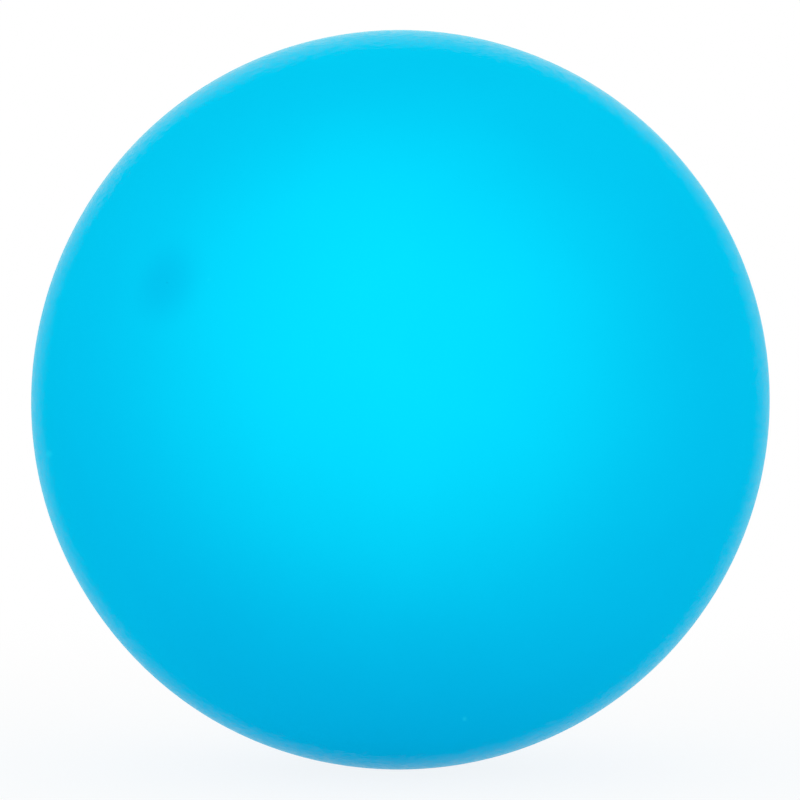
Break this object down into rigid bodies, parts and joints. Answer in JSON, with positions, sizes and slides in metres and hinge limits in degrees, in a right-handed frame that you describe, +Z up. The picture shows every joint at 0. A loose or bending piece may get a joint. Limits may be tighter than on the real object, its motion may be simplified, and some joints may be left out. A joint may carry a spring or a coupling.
{
  "type": "dodgeball",
  "caption": "Hollow soft vinyl dodgeball: a seamless round skin over a moulded-in needle valve with a flanged rubber housing and a self-sealing core.",
  "frame": {"origin": "centre of the ball", "axes": "+Z up as the ball lies on the floor; the valve's axis runs from the centre towards -Y, raised 20 degrees towards +Z; +X is to the right for someone who faces the valve. The outside is a sphere, so every axis through the centre is a symmetry axis of it, and the small valve hardly changes that."},
  "size_m": [0.216, 0.216, 0.216],
  "materials": {
    "skin_vinyl": "matte",
    "housing_rubber": "matte",
    "core_rubber": "matte"
  },
  "bodies": {
    "root": {"skin": "skin_vinyl", "valve_body": "housing_rubber", "valve_core": "core_rubber"}
  },
  "joints": []
}
